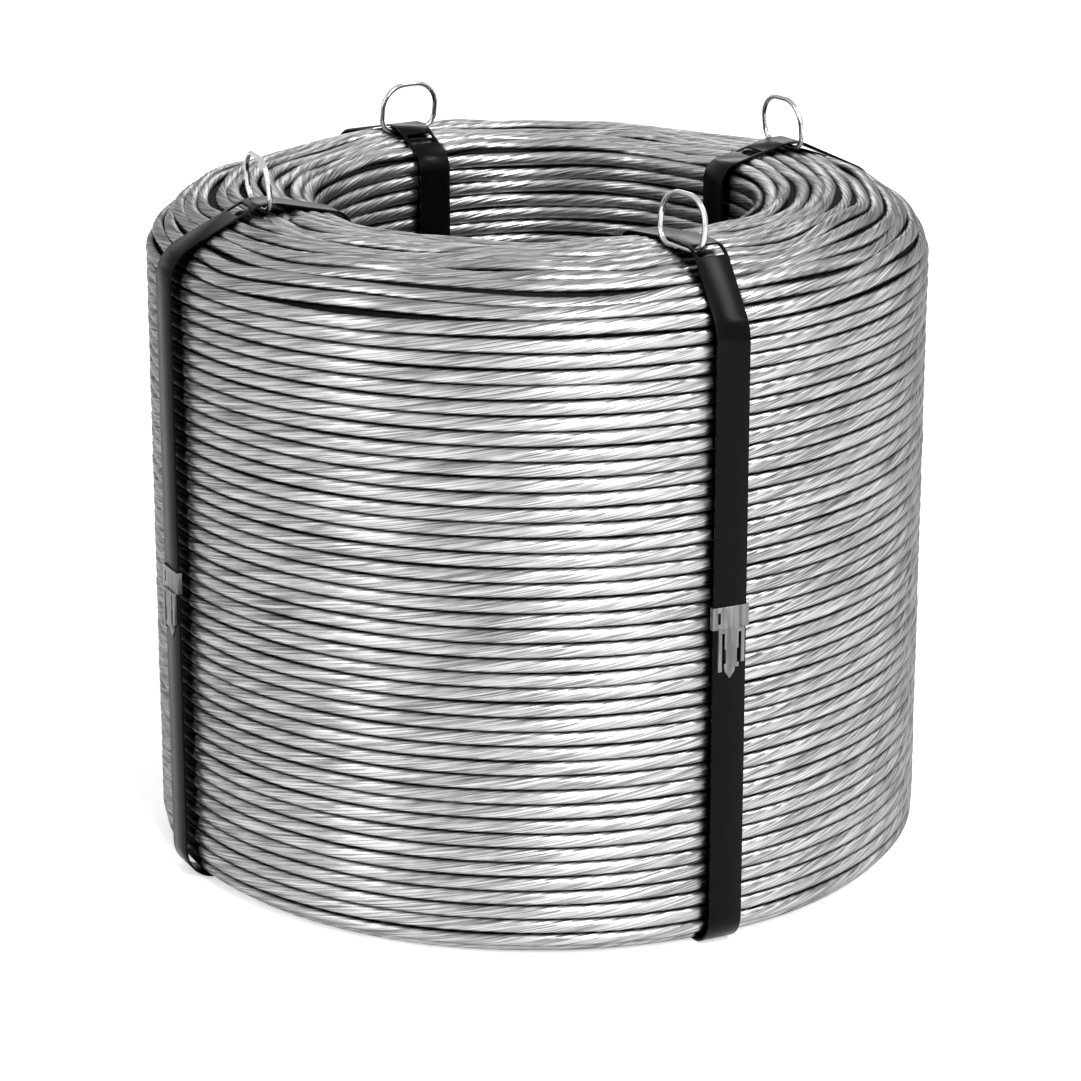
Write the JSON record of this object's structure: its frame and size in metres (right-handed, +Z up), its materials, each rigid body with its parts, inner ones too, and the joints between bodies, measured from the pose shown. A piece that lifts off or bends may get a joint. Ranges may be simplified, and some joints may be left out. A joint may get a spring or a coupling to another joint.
{
  "type": "strapped coil of galvanized wire strand",
  "caption": "Heavy coil of twisted galvanized wire wound in close layers with an open bore, bound by black flat straps with clips and small wire rings.",
  "frame": {"origin": "on the floor under the centre of the coil, at the middle of its footprint", "axes": "+Z up along the coil's axis; -Y towards strap_1, whose clip and turned ring show at the front right of the picture; +X to the right of it"},
  "size_m": [0.3734, 0.3734, 0.3363],
  "materials": {
    "strand": "bright galvanized, drawn fine wires twisted into a strand",
    "strap": "black lacquered steel strapping, satin",
    "ring": "bright zinc-plated round wire",
    "clip": "zinc-plated sheet steel"
  },
  "bodies": {
    "root": {"wire_coil": "strand", "strap_1": "strap", "strap_2": "strap", "strap_3": "strap", "strap_4": "strap", "lifting_ring_1": "ring", "lifting_ring_2": "ring", "lifting_ring_3": "ring", "lifting_ring_4": "ring", "strap_clip_1": "clip", "strap_clip_2": "clip", "strap_clip_3": "clip", "strap_clip_4": "clip"}
  },
  "joints": []
}
